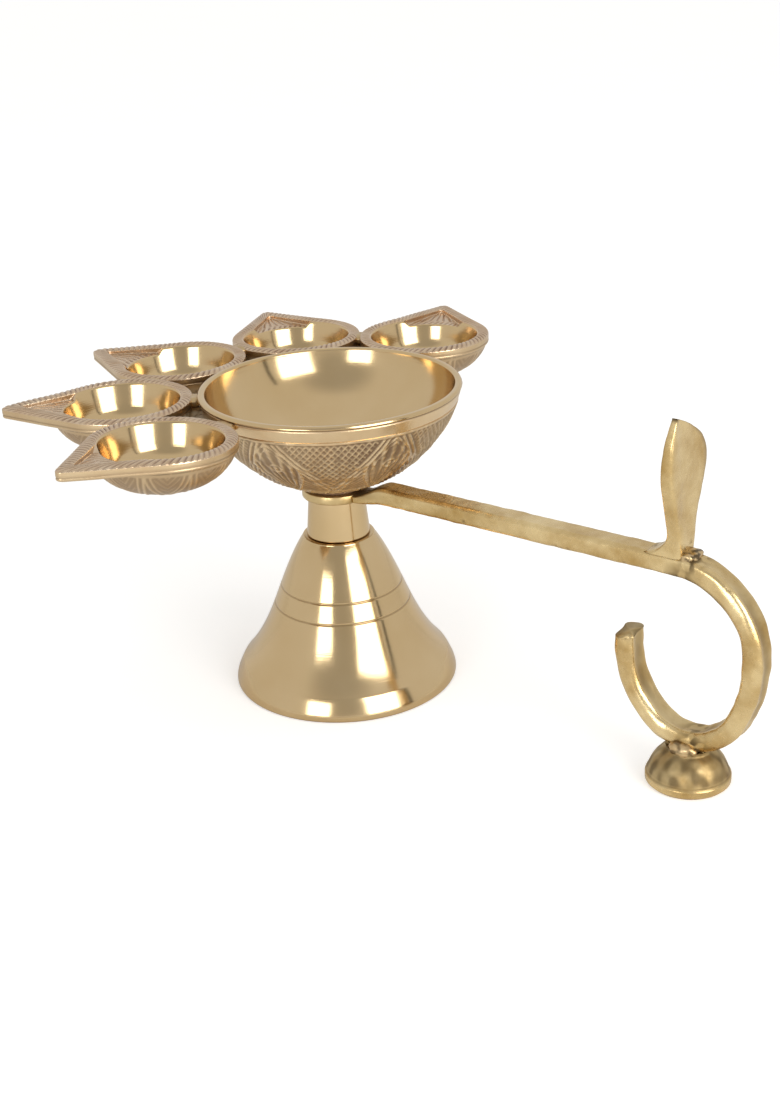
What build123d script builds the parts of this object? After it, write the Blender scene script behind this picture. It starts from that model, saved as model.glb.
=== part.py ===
from build123d import *
import math
import os

# An aarti lamp in cast and turned brass: a bell-shaped stand, a handle with a finger ring and a thumb
# leaf, and an oil bowl with a fan of five wick cups brazed to it. One stud clamps the stack together.
# Sizes are in millimetres, angles in degrees. The origin is on the bell's axis, on the table.
# +Z is up and +X runs along the handle.

# Bell-shaped stand: the waist is measured down from its top, the flare and band up from the table
bell_height = 42.5
bell_top_radius = 9.8
bell_waist_radius = 16.4
bell_waist_drop = 13.5
bell_flare_radius = 22.0
bell_flare_height = 16.0
bell_band_radius = 28.7
bell_band_height = 6.2
bell_band_swell = 0.3
bell_band_wall = 3.4
bell_lip_radius = 30.9
bell_lip_edge = 0.8
bell_foot_land = 3.0
bell_wall = 2.8
bell_crown = 4.5
bell_seat_radius = 8.2

# Neck collar between the bell and the handle
collar_height = 11.2
collar_bottom_radius = 8.6
collar_top_radius = 7.6
collar_edge = 0.3

# Centre stud, washer and nut
stud_radius = 3.0
stud_clearance = 0.05
stud_depth = 4.8
stud_tail = 2.4
stud_edge = 0.5
washer_radius = 6.0
washer_thickness = 1.6
nut_across_flats = 10.0
nut_height = 5.0
nut_edge = 0.6

# Handle: eye, arm and open finger ring, one cast bar
eye_radius = 9.2
eye_thickness = 2.4
arm_length = 103.3
arm_root_length = 9.0
arm_root_width = 8.0
arm_lift = 0.9
bar_width = 7.0
bar_thickness = 5.1
bar_rounding = 1.0
ring_top_radius = 20.0
ring_top_turn = 84.0
ring_back_turn = 34.0
ring_bottom_radius = 14.0
ring_bottom_turn = 106.5
ring_hook_radius = 23.5
ring_hook_turn = 45.5
ring_end_length = 3.8

# Thumb leaf
leaf_height = 35.0
leaf_width = 17.6
leaf_base_width = 7.6
leaf_waist_width = 8.6
leaf_waist_height = 8.0
leaf_widest_height = 23.0
leaf_tip_lean = 6.8
leaf_near_slope = 3.0
leaf_far_slope = 0.4
leaf_thickness = 3.8
leaf_tip_thickness = 1.6
leaf_setback = 2.0
leaf_sweep = 6.6
leaf_sweep_height = 6.0
leaf_toe_slope = 0.2
leaf_back_slope = 0.3
leaf_braze_radius = 2.6
leaf_braze_length = 6.8
leaf_braze_edge = 1.3

# Foot button under the finger ring
foot_height = 9.5
foot_radius = 10.5
foot_edge = 0.7
foot_band = 2.3
foot_neck_radius = 5.8
foot_dome_height = 9.2
foot_dome_lean = 0.1
foot_dome_slope = 0.55
foot_saddle = 0.7
foot_braze_radius = 2.5
foot_braze_offset = 0.3

# Oil bowl
bowl_height = 28.4
bowl_radius = 35.0
bowl_lip = 2.2
bowl_lip_rounding = 0.7
bowl_lip_slope = 0.2
bowl_boss_radius = 8.0
bowl_boss_height = 1.0
bowl_belly_radius = 23.1
bowl_belly_height = 8.9
bowl_side_radius = 30.3
bowl_side_height = 17.1
bowl_floor = 7.4
bowl_wall = 2.8

# Wick cups: each one's turn in its braze and the rise of its tip, then the sizes of one cup
cup_twists = [3.5, 0.0, 7.0, 9.0, 15.0]
cup_tilts = [2.6, 0.0, -1.0, -0.8, 0.0]
cup_gap = 1.0
cup_side_gap = 0.45
cup_drop = 0.5
cup_radius = 18.7
cup_wall = 3.0
cup_nose = 12.3
cup_tip_radius = 1.6
cup_band = 3.3
cup_depth = 13.2
cup_floor = 2.3
cup_shoulder = 0.6
cup_shell_slope = 0.25
cup_bore_slope = 0.25
cup_belly_radius = 12.2
cup_belly_depth = 8.2
cup_rim_rounding = 0.7
spout_inset = 1.0
spout_tip_radius = 0.8
spout_tip_gap = 5.2
spout_root_depth = 3.0
spout_tip_depth = 1.1

# Braze runs where a cup meets the bowl, and where two cups meet
braze_width = 7.0
braze_reach = 2.0
braze_depth = 2.4
braze_drop = 0.8

# Heights in the stack
eye_base = bell_height + collar_height
bowl_base = eye_base + eye_thickness
bowl_rim = bowl_base + bowl_height
cup_rim = bowl_rim - cup_drop
crown_base = bell_height - bell_crown
washer_base = crown_base - washer_thickness
nut_base = washer_base - nut_height
stud_base = nut_base - stud_tail
stud_top = bowl_base + stud_depth
bar_middle = eye_base + arm_lift + bar_thickness / 2
bar_top = bar_middle + bar_thickness / 2
bore_radius = stud_radius + stud_clearance

# The ring's back arc takes up what is left of the drop from the arm to the foot
ring_drop = bar_middle - bar_thickness / 2 - foot_height
top_angle = math.radians(ring_top_turn)
back_angle = math.radians(ring_top_turn + ring_back_turn)
top_drop = ring_top_radius * (1 - math.cos(top_angle))
bottom_drop = ring_bottom_radius * (1 + math.cos(back_angle))
ring_back_radius = (ring_drop - top_drop - bottom_drop) / (math.cos(top_angle) - math.cos(back_angle))

# The foot stands under the lowest point of the ring
foot_offset = arm_length + ring_top_radius * math.sin(top_angle)
foot_offset += ring_back_radius * (math.sin(back_angle) - math.sin(top_angle))
foot_offset -= ring_bottom_radius * math.sin(back_angle)
foot_top = foot_height + foot_saddle

# The fan of cups closes up round the bowl, with a small gap from cup to cup
cup_count = len(cup_twists)
cup_reach = cup_radius + cup_nose
cup_bore_radius = cup_radius - cup_wall
cup_bore_depth = cup_depth - cup_floor
cup_orbit = bowl_radius + cup_gap + cup_radius
cup_step = 2 * math.degrees(math.asin((cup_radius + cup_side_gap / 2) / cup_orbit))
first_direction = 180 + cup_step * (cup_count - 1) / 2

os.makedirs("parts", exist_ok=True)


def keep(piece, name):
    """Label a finished piece and write it as its own node."""
    piece.label = name
    export_step(piece, f"parts/{name}.step")


# Bell: a turned profile, hollow below, with a flat crown that carries the washer
with BuildPart() as bell_base:
    with BuildSketch(Plane.XZ):
        with BuildLine():
            top = Line((bore_radius, bell_height), (bell_top_radius, bell_height))
            skin = Spline(
                top @ 1,
                (bell_waist_radius, bell_height - bell_waist_drop),
                (bell_flare_radius, bell_flare_height),
                (bell_band_radius, bell_band_height),
            )
            band = SagittaArc(skin @ 1, (bell_lip_radius, bell_lip_edge), bell_band_swell)
            lip = TangentArc(
                (bell_lip_radius - bell_lip_edge, 0),
                band @ 1,
                tangent=(1, 0),
            )
            foot = Line(lip @ 0, (lip @ 0) - (bell_foot_land, 0))
            rise = Line(foot @ 1, (bell_band_radius - bell_band_wall, bell_band_height))
            hollow = Spline(
                rise @ 1,
                (bell_flare_radius - bell_wall, bell_flare_height),
                (bell_waist_radius - bell_wall, bell_height - bell_waist_drop),
                (bell_seat_radius, crown_base),
            )
            crown = Line(hollow @ 1, (bore_radius, crown_base))
            Line(crown @ 1, top @ 0)
        make_face()
    revolve(axis=Axis.Z)
keep(bell_base.part, "bell_base")

# Collar: a slightly tapered turned spacer, bored for the stud
with BuildPart() as neck_collar:
    with BuildSketch(Plane.XZ):
        with BuildLine():
            Polyline(
                (bore_radius, bell_height),
                (collar_bottom_radius - collar_edge, bell_height),
                (collar_bottom_radius, bell_height + collar_edge),
                (collar_top_radius, eye_base),
                (bore_radius, eye_base),
                close=True,
            )
        make_face()
    revolve(axis=Axis.Z)
keep(neck_collar.part, "neck_collar")

# Handle: the bar runs along the arm and round the open ring, and its root flattens into the eye
root_end = eye_radius + arm_root_length
root_start = (eye_radius + bowl_boss_radius) / 2
with BuildPart() as handle_arm:
    with BuildLine(Plane.XZ) as bar_path:
        run = Line((root_end, bar_middle), (arm_length, bar_middle))
        for arc_radius, arc_turn in (
            (ring_top_radius, ring_top_turn),
            (ring_back_radius, ring_back_turn),
            (ring_bottom_radius, ring_bottom_turn),
            (ring_hook_radius, ring_hook_turn),
        ):
            run = JernArc(run @ 1, run % 1, arc_radius, -arc_turn)
        Line(run @ 1, (run @ 1) + (run % 1) * ring_end_length)
    with BuildSketch(Plane(origin=(root_end, 0, bar_middle), x_dir=(0, 1, 0), z_dir=(1, 0, 0))):
        RectangleRounded(bar_width, bar_thickness, bar_rounding)
    sweep(path=bar_path.wire())
    with BuildSketch(Plane(origin=(root_end, 0, bar_middle), x_dir=(0, 1, 0), z_dir=(1, 0, 0))):
        RectangleRounded(bar_width, bar_thickness, bar_rounding)
    eye_middle = eye_base + eye_thickness / 2
    with BuildSketch(Plane(origin=(root_start, 0, eye_middle), x_dir=(0, 1, 0), z_dir=(1, 0, 0))):
        RectangleRounded(arm_root_width, eye_thickness, bar_rounding)
    loft()
    with BuildSketch(Plane.XY.offset(eye_base)):
        Circle(eye_radius)
        with Locations((root_start / 2, 0)):
            Rectangle(root_start, arm_root_width)
    extrude(amount=eye_thickness)
    with BuildSketch(Plane.XY.offset(eye_base)):
        Circle(bore_radius)
    extrude(amount=eye_thickness, mode=Mode.SUBTRACT)
keep(handle_arm.part, "handle_arm")

# Thumb leaf: the front outline of the leaf, cut to a side view that sweeps down into the arm
leaf_back = arm_length - leaf_setback
leaf_front = leaf_back + leaf_thickness
leaf_top = bar_top + leaf_height
with BuildPart() as thumb_leaf:
    with BuildSketch(Plane.YZ.offset(leaf_back - leaf_sweep)):
        with BuildLine():
            for side, tip_slope in ((1, leaf_far_slope), (-1, leaf_near_slope)):
                Spline(
                    (side * leaf_base_width / 2, bar_top),
                    (side * leaf_waist_width / 2, bar_top + leaf_waist_height),
                    (side * leaf_width / 2, bar_top + leaf_widest_height),
                    (-leaf_tip_lean, leaf_top),
                    tangents=[(0, 1), (-side, tip_slope)],
                )
            Line((-leaf_base_width / 2, bar_top), (leaf_base_width / 2, bar_top))
        make_face()
    extrude(amount=leaf_sweep + leaf_thickness)
    with BuildSketch(Plane.XZ):
        with BuildLine():
            sole = Line((leaf_front, bar_top), (leaf_back - leaf_sweep, bar_top))
            sweep_up = Spline(
                sole @ 1,
                (leaf_back, bar_top + leaf_sweep_height),
                tangents=[(1, leaf_toe_slope), (0, 1)],
            )
            tip_start = (leaf_front - leaf_tip_thickness, leaf_top)
            back = Spline(
                sweep_up @ 1,
                (leaf_back, bar_top + leaf_widest_height),
                tip_start,
                tangents=[(0, 1), (leaf_back_slope, 1)],
            )
            Polyline(back @ 1, (leaf_front, leaf_top), sole @ 0)
        make_face()
    extrude(amount=leaf_width, both=True, mode=Mode.INTERSECT)
keep(thumb_leaf.part, "thumb_leaf")

# Braze run across the foot of the leaf, in the corner between its front and the bar
with BuildPart() as leaf_braze:
    with BuildSketch(Plane.XZ.offset(-leaf_braze_length / 2)):
        with Locations((leaf_front, bar_top)):
            Circle(leaf_braze_radius)
    extrude(amount=leaf_braze_length)
    fillet(leaf_braze.edges().filter_by(GeomType.CIRCLE), leaf_braze_edge)
    add(thumb_leaf.part, mode=Mode.SUBTRACT)
    add(handle_arm.part, mode=Mode.SUBTRACT)
keep(leaf_braze.part, "leaf_braze")

# Foot button: a turned disc with a domed top and a neck that saddles the ring
with BuildPart() as foot_button:
    with BuildSketch(Plane(origin=(foot_offset, 0, 0), x_dir=(1, 0, 0), z_dir=(0, -1, 0))):
        with BuildLine():
            disc = Polyline(
                (0, 0),
                (foot_radius - foot_edge, 0),
                (foot_radius, foot_edge),
                (foot_radius, foot_band),
            )
            dome = Spline(
                disc @ 1,
                (foot_neck_radius, foot_dome_height),
                tangents=[(-foot_dome_lean, 1), (-1, foot_dome_slope)],
            )
            Polyline(
                dome @ 1,
                (foot_neck_radius, foot_top),
                (0, foot_top),
                disc @ 0,
            )
        make_face()
    revolve(axis=Axis((foot_offset, 0, 0), (0, 0, 1)))
    add(handle_arm.part, mode=Mode.SUBTRACT)
keep(foot_button.part, "foot_button")

# Braze lumps on both sides of the ring, above the button's neck
with BuildPart() as foot_braze:
    braze_middle = bar_width / 2 + foot_braze_offset
    with Locations((foot_offset, braze_middle, foot_top), (foot_offset, -braze_middle, foot_top)):
        Sphere(foot_braze_radius)
    add(handle_arm.part, mode=Mode.SUBTRACT)
    add(foot_button.part, mode=Mode.SUBTRACT)
keep(foot_braze.part, "foot_braze")

# Oil bowl: turned inside and out, with a boss below that is bored blind for the stud
with BuildPart() as bowl:
    with BuildSketch(Plane.XZ):
        with BuildLine():
            boss = Polyline(
                (0, stud_top),
                (bore_radius, stud_top),
                (bore_radius, bowl_base),
                (bowl_boss_radius, bowl_base),
                (bowl_boss_radius, bowl_base + bowl_boss_height),
            )
            outside = Spline(
                boss @ 1,
                (bowl_belly_radius, bowl_base + bowl_belly_height),
                (bowl_side_radius, bowl_base + bowl_side_height),
                (bowl_radius, bowl_rim),
            )
            lip_top = Line(outside @ 1, (bowl_radius - bowl_lip, bowl_rim))
            inside = Spline(
                lip_top @ 1,
                (bowl_side_radius - bowl_wall, bowl_base + bowl_side_height),
                (bowl_belly_radius - bowl_wall, bowl_base + bowl_belly_height + bowl_wall),
                (0, bowl_base + bowl_floor),
                tangents=[(-bowl_lip_slope, -1), (-1, 0)],
            )
            Line(inside @ 1, boss @ 0)
        make_face()
    revolve(axis=Axis.Z)
    fillet(bowl.edges().group_by(Axis.Z)[-1], bowl_lip_rounding)
keep(bowl.part, "bowl")


def teardrop(round_radius, tip_radius, reach):
    """A circle drawn out to a small round tip by two straight flanks."""
    Circle(round_radius)
    with Locations((reach - tip_radius, 0)):
        Circle(tip_radius)
    make_hull()


def cup_plane(direction, twist, tilt):
    """The rim of a cup on its orbit, tilted about the edge that meets the bowl so that the tip
    rises, and twisted about the cup's own middle. Its X axis points to the tip."""
    seat = Location((0, 0, cup_rim), (0, 0, direction)) * Pos(cup_orbit - cup_radius, 0, 0)
    return Plane(seat * Rot(0, -tilt, 0) * Pos(cup_radius, 0, 0) * Rot(0, 0, twist))


def make_cup(rim_plane):
    """One wick cup: a teardrop band over a round bottom, bored, with a sloping spout to the tip."""
    side_plane = Plane(rim_plane.origin, rim_plane.x_dir, -rim_plane.y_dir)
    cup_axis = Axis(rim_plane.origin, rim_plane.z_dir)
    with BuildPart() as spout:
        with BuildSketch(side_plane):
            with BuildLine():
                Polyline(
                    (0, 0),
                    (cup_reach, 0),
                    (cup_reach, -spout_tip_depth),
                    (0, -spout_root_depth),
                    close=True,
                )
            make_face()
        extrude(amount=cup_radius, both=True)
        with BuildSketch(rim_plane):
            teardrop(cup_bore_radius - spout_inset, spout_tip_radius, cup_reach - spout_tip_gap)
        extrude(amount=-spout_root_depth, mode=Mode.INTERSECT)
    with BuildPart() as cup:
        with BuildSketch(rim_plane):
            teardrop(cup_radius, cup_tip_radius, cup_reach)
        extrude(amount=-cup_band)
        with BuildSketch(side_plane):
            with BuildLine():
                shell_top = Line((0, -cup_band), (cup_radius - cup_shoulder, -cup_band))
                shell = Spline(
                    shell_top @ 1,
                    (0, -cup_depth),
                    tangents=[(-cup_shell_slope, -1), (-1, 0)],
                )
                Line(shell @ 1, shell_top @ 0)
            make_face()
        revolve(axis=cup_axis)
        with BuildSketch(side_plane):
            with BuildLine():
                bore_top = Line((0, 0), (cup_bore_radius, 0))
                bore = Spline(
                    bore_top @ 1,
                    (cup_belly_radius, -cup_belly_depth),
                    (0, -cup_bore_depth),
                    tangents=[(-cup_bore_slope, -1), (-1, 0)],
                )
                Line(bore @ 1, bore_top @ 0)
            make_face()
        revolve(axis=cup_axis, mode=Mode.SUBTRACT)
        add(spout.part, mode=Mode.SUBTRACT)
        fillet(cup.faces().sort_by(cup_axis)[-1].edges(), cup_rim_rounding)
    return cup.part


# Wick cups: a fan on the side away from the handle, each turned a little in its braze
cup_planes = []
for index, (cup_twist, cup_tilt) in enumerate(zip(cup_twists, cup_tilts)):
    cup_planes.append(cup_plane(first_direction - index * cup_step, cup_twist, cup_tilt))
    keep(make_cup(cup_planes[-1]), f"cup_{index + 1}")

# Braze runs: small plugs that fill the narrowest place between bowl and cup, and from cup to cup
last_direction = first_direction - (cup_count - 1) * cup_step
meeting_orbit = cup_orbit * math.cos(math.radians(cup_step / 2))
with BuildPart() as rim_braze:
    with BuildSketch(Plane.XY.offset(cup_rim - braze_drop)):
        with PolarLocations(
            bowl_radius + cup_gap / 2, cup_count, first_direction, last_direction - first_direction, endpoint=True
        ):
            Rectangle(cup_gap + 2 * braze_reach, braze_width)
        with PolarLocations(
            meeting_orbit,
            cup_count - 1,
            first_direction - cup_step / 2,
            last_direction - first_direction + cup_step,
            endpoint=True,
        ):
            Rectangle(braze_width, cup_side_gap + 2 * braze_reach)
    extrude(amount=-braze_depth)
    add(bowl.part, mode=Mode.SUBTRACT)
    for rim_plane in cup_planes:
        with BuildSketch(rim_plane):
            Circle(cup_radius)
        extrude(amount=cup_depth, both=True, mode=Mode.SUBTRACT)
keep(rim_braze.part, "rim_braze")

# Centre stud: screwed into the boss, down through eye, collar and bell
with BuildPart() as centre_stud:
    with BuildSketch(Plane.XY.offset(stud_base)):
        Circle(stud_radius)
    extrude(amount=stud_top - stud_base)
    chamfer(centre_stud.edges().group_by(Axis.Z)[0], stud_edge)
keep(centre_stud.part, "centre_stud")

# Washer under the bell's crown
with BuildPart() as clamp_washer:
    with BuildSketch(Plane.XY.offset(washer_base)):
        Circle(washer_radius)
        Circle(bore_radius, mode=Mode.SUBTRACT)
    extrude(amount=washer_thickness)
keep(clamp_washer.part, "clamp_washer")

# Hex nut under the washer, with its corners turned off
with BuildPart() as clamp_nut:
    with BuildSketch(Plane.XY.offset(nut_base)):
        Circle(nut_across_flats / math.sqrt(3))
    extrude(amount=nut_height)
    chamfer(clamp_nut.edges(), nut_edge)
    with BuildSketch(Plane.XY.offset(nut_base)):
        RegularPolygon(nut_across_flats / 2, 6, major_radius=False)
        Circle(bore_radius, mode=Mode.SUBTRACT)
    extrude(amount=nut_height, mode=Mode.INTERSECT)
keep(clamp_nut.part, "clamp_nut")
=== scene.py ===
import bmesh
import bpy
import numpy as np
from mathutils import Matrix


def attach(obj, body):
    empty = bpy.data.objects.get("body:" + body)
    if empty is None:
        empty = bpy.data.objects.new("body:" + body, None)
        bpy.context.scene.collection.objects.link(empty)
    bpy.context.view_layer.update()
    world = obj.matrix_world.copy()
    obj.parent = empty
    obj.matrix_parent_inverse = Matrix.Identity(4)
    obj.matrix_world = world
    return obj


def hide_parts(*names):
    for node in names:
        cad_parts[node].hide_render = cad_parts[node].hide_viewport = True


# An aarti lamp in brass. Shapes are worked out in millimetres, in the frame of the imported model: +Z is up,
# +X runs along the handle, and the origin is on the bell's axis, on the table.

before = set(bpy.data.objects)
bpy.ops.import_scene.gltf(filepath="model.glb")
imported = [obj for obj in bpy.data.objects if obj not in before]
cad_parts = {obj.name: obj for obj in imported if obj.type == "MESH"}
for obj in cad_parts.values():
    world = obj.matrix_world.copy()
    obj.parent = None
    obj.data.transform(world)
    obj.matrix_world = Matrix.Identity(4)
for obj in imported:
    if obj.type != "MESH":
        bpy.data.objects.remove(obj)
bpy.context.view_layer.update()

MM = 0.001
TURN = 2 * np.pi

# Sizes in millimetres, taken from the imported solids. The cups' bore, the button's dome and the sides of the
# leaf differ from them by up to 0.9 mm, to suit the shine and outline of the real lamp. Outlines are (radius,
# height), the cups' with heights from the rim. LIP_LINE to CHASED_TO are lengths down the bowl's outside.
STUD_RADIUS, STUD_FOOT, STUD_TOP, THREAD_TOP = 3.0, 29.0, 60.9, 40.2
STUD_BORE = 3.05
BELL_TOP, BELL_CROWN = 42.5, 38.0
BELL_SKIN = [(9.8, 42.25), (16.4, 29.0), (22.0, 16.0), (28.7, 6.2)]
BELL_BAND = [(28.7, 6.2), (30.05, 3.6), (30.9, 0.8)]
BELL_HOLLOW = [(25.3, 6.2), (19.2, 16.0), (13.6, 29.0), (8.2, BELL_CROWN)]
BELL_LIP, BELL_FOOT = 30.1, 27.1
BELL_LINES = (28.2, 23.1)
COLLAR_FOOT, COLLAR_HEAD = 8.6, 7.6
EYE_BASE, EYE_TOP, EYE_RADIUS, EYE_EASE = 53.7, 56.1, 9.2, 0.4
BOWL_RADIUS, BOWL_RIM, BOWL_BOSS = 35.0, 84.5, 8.0
BOWL_SKIN = [(BOWL_BOSS, 57.1), (23.1, 65.0), (30.3, 73.2), (BOWL_RADIUS, BOWL_RIM)]
BOWL_INSIDE = [(32.8, 83.8), (27.5, 73.2), (20.3, 67.8), (0.0, 63.5)]
LIP_LINE, CHASED_FROM, CHASED_FOOT, CHASED_TO = 1.25, 4.7, 29.6, 38.6
CUP_RIM, CUP_ORBIT, CUP_RADIUS, CUP_SIDE_GAP = 84.0, 54.7, 18.7, 0.45
CUP_TIP, CUP_REACH = 1.6, 31.0
CUP_BORE, CUP_BORE_DEPTH = 15.7, 10.9
CUP_WALL = [(14.35, -4.6), (12.75, -8.4), (9.4, -10.35)]
CUP_BAND, CUP_DEPTH, CUP_SHOULDER = 3.3, 13.2, 18.1
SPOUT_RADIUS, SPOUT_TIP, SPOUT_REACH = 14.7, 0.8, 25.8
RIM_ARCH, BEAD_PITCH, BAND_LINE = 0.7, 1.75, 2.4
CUP_TWISTS = (3.5, 0.0, 7.0, 9.0, 15.0)
CUP_TILTS = (2.6, 0.0, -1.0, -0.8, 0.0)
BRAZE_LOW, BRAZE_HIGH, BRAZE_SEAT = 80.9, 83.5, 35.45
WEB_MIDDLE, WEB_LEVEL = 39.6, 81.3
BAR_WIDTH, BAR_THICKNESS, BAR_MIDDLE, BAR_EDGE, RING_EDGE = 7.0, 5.1, 57.15, 1.3, 2.1
ROOT_START, ROOT_END, ARM_END = 8.6, 18.2, 103.3
RING_ARCS = ((20.0, 84.0), (34.43, 34.0), (14.0, 106.5), (23.5, 45.5))
HOOK_END = 3.8
LEAF_FOOT, LEAF_TOP, LEAF_TIP = 59.3, 94.7, -6.8
LEAF_BACK, LEAF_FRONT = 101.3, 105.1
LEAF_WAIST_Z, LEAF_WIDEST_Z = 67.7, 82.7
FOOT_MIDDLE, FOOT_RADIUS, FOOT_TOP = 106.98, 10.5, 10.2
FOOT_DOME = [(FOOT_RADIUS, 2.3), (9.1, 5.8), (5.8, 9.2)]


# Curves and grids

def spline(points, start=None, end=None, count=40):
    """A smooth curve through a few points: cubic pieces over chord length that agree in slope and
    curvature. The end slopes are the unit vectors along start and end, or run on from the next piece."""
    p = np.asarray(points, float)
    h = np.linalg.norm(np.diff(p, axis=0), axis=1)
    d = np.diff(p, axis=0) / h[:, None]
    n = len(p)
    a = np.zeros((n, n))
    b = np.zeros_like(p)
    i = np.arange(1, n - 1)
    a[i, i - 1] = 1 / h[i - 1]
    a[i, i] = 2 / h[i - 1] + 2 / h[i]
    a[i, i + 1] = 1 / h[i]
    b[i] = 3 * (d[i - 1] / h[i - 1, None] + d[i] / h[i, None])
    if start is None:
        a[0, 0] = h[1]
        a[0, 1] = h[0] + h[1]
        b[0] = ((3 * h[0] + 2 * h[1]) * h[1] * d[0] + h[0] ** 2 * d[1]) / (h[0] + h[1])
    else:
        a[0, 0] = 1
        b[0] = np.asarray(start) / np.linalg.norm(start)
    if end is None:
        a[-1, -1] = h[-2]
        a[-1, -2] = h[-1] + h[-2]
        b[-1] = (h[-1] ** 2 * d[-2] + (3 * h[-1] + 2 * h[-2]) * h[-2] * d[-1]) / (h[-1] + h[-2])
    else:
        a[-1, -1] = 1
        b[-1] = np.asarray(end) / np.linalg.norm(end)
    m = np.linalg.solve(a, b)
    x = np.concatenate([[0], np.cumsum(h)])
    t = np.linspace(0, x[-1], count)
    k = np.clip(np.searchsorted(x, t, "right") - 1, 0, n - 2)
    u = ((t - x[k]) / h[k])[:, None]
    w = h[k, None]
    return (
        (1 + 2 * u) * (1 - u) ** 2 * p[k] + u * (1 - u) ** 2 * w * m[k]
        + u ** 2 * (3 - 2 * u) * p[k + 1] + u ** 2 * (u - 1) * w * m[k + 1]
    )


def arc(middle, radius, first, last, count):
    """Points on a circle: the middle plus the radius times (cosine, sine) from first to last, in degrees."""
    t = np.radians(np.linspace(first, last, count))
    return np.asarray(middle) + radius * np.stack([np.cos(t), np.sin(t)], -1)


def run(*points, count=2):
    """Straight runs from point to point, each of them cut into count - 1 equal steps."""
    legs = [np.linspace(a, b, count) for a, b in zip(points[:-1], points[1:])]
    return chain(*legs)


def chain(*runs):
    """Runs of points joined end to end, with each shared point kept once."""
    return np.vstack([runs[0]] + [r[1:] for r in runs[1:]])


def lengths(points):
    """How far along a run of points each one is."""
    return np.concatenate([[0], np.cumsum(np.linalg.norm(np.diff(points, axis=0), axis=1))])


def ease(x):
    """Zero up to 0, one from 1 on, and 3x^2 - 2x^3 between."""
    x = np.clip(x, 0, 1)
    return x * x * (3 - 2 * x)


def groove(x, place, half):
    """A V-shaped dip, 1 at place and 0 from half away on."""
    return np.clip(1 - np.abs(x - place) / half, 0, 1)


def bulge(x, power):
    """The power of x with its sign kept: it squares off a cosine or sine."""
    return np.sign(x) * np.abs(x) ** power


def mound(x, width):
    """A rounded ridge along x = 0: the bell curve exp(-(x / width)^2)."""
    return np.exp(-(x / width) ** 2)


def ripple(p, wave, seed):
    """Smooth unevenness between about -1 and 1: the mean of eight sine waves that run in seeded
    directions, each with a wavelength near wave."""
    rng = np.random.default_rng(seed)
    k = rng.normal(size=(3, 8))
    k *= TURN / wave * rng.uniform(0.7, 1.4, 8) / np.linalg.norm(k, axis=0)
    return 1.6 * np.sin(p @ k + rng.uniform(0, TURN, 8)).mean(-1)


def lathe(profile, columns):
    """A profile of (radius, height) turned about Z: x and y are the radius times cosine and sine."""
    t = np.linspace(0, TURN, columns, endpoint=False)
    r = profile[:, :1]
    z = np.broadcast_to(profile[:, 1:], (len(profile), columns))
    return np.stack([r * np.cos(t), r * np.sin(t), z], -1)


def cells(grid):
    """The four corners of each cell of a grid whose last column joins its first, as row numbers of the
    flattened grid."""
    rows, columns = grid.shape[:2]
    index = np.arange(rows * columns).reshape(rows, columns)
    right = np.roll(index, -1, axis=1)
    return np.stack([index[:-1], right[:-1], right[1:], index[1:]], -1).reshape(-1, 4)


def hand(grid):
    """1 if the cells of a closed grid face outwards, else -1: the sign of the volume that the triangles
    span with the origin."""
    a, b, c, d = np.moveaxis(grid.reshape(-1, 3)[cells(grid)], 1, 0)
    return np.sign((a * (np.cross(b, c) + np.cross(c, d))).sum())


def relief(grid, height):
    """Each point of a closed grid moved outwards by height: the normal is the cross product of the
    grid's two directions."""
    along = np.gradient(grid, axis=0)
    around = np.roll(grid, -1, axis=1) - np.roll(grid, 1, axis=1)
    normal = np.cross(around, along) * hand(grid)
    normal /= np.maximum(np.linalg.norm(normal, axis=-1, keepdims=True), 1e-9)
    return grid + normal * height[..., None]


def capped(grid):
    """A tube of loops closed with a point at the middle of its first and of its last loop."""
    first, last = (np.broadcast_to(g.mean(0), g.shape)[None] for g in (grid[0], grid[-1]))
    return np.concatenate([first, grid, last])


def piece(name, body, nodes, shells, materials):
    """A mesh piece from closed shells, each with its grid, its tarnish and painted shade, and its place along
    the turned profile per point, and its material's number per row. Seams and poles are merged."""
    points, faces, tarnish_and_shade, along, finish = [], [], [], [], []
    for shell in shells:
        grid = shell["grid"]
        four = cells(grid) if hand(grid) > 0 else cells(grid)[:, ::-1]
        faces.append(four + sum(map(len, points)))
        points.append(grid.reshape(-1, 3))
        tarnish_and_shade.append(np.broadcast_to(shell.get("tarnish_and_shade", 0.0), grid.shape[:2]).ravel())
        along.append(np.broadcast_to(shell.get("along", 0.0), grid.shape[:2]).ravel())
        rows = np.broadcast_to(shell.get("finish", 0), (len(grid) - 1,))
        finish.append(np.repeat(rows, grid.shape[1]))
    mesh = bpy.data.meshes.new(name)
    mesh.from_pydata(np.concatenate(points) * MM, [], np.concatenate(faces))
    mesh.polygons.foreach_set("material_index", np.concatenate(finish).astype(np.int32))
    for key, values in (("tarnish_and_shade", tarnish_and_shade), ("along", along)):
        layer = mesh.attributes.new(key, "FLOAT", "POINT")
        layer.data.foreach_set("value", np.concatenate(values).astype(np.float32))
    joined = bmesh.new()
    joined.from_mesh(mesh)
    bmesh.ops.remove_doubles(joined, verts=joined.verts, dist=2e-6)
    joined.to_mesh(mesh)
    joined.free()
    mesh.shade_smooth()
    made = bpy.data.objects.new(name, mesh)
    bpy.context.scene.collection.objects.link(made)
    for material in materials:
        mesh.materials.append(material)
    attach(made, body)
    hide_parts(*nodes)


# Materials

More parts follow.
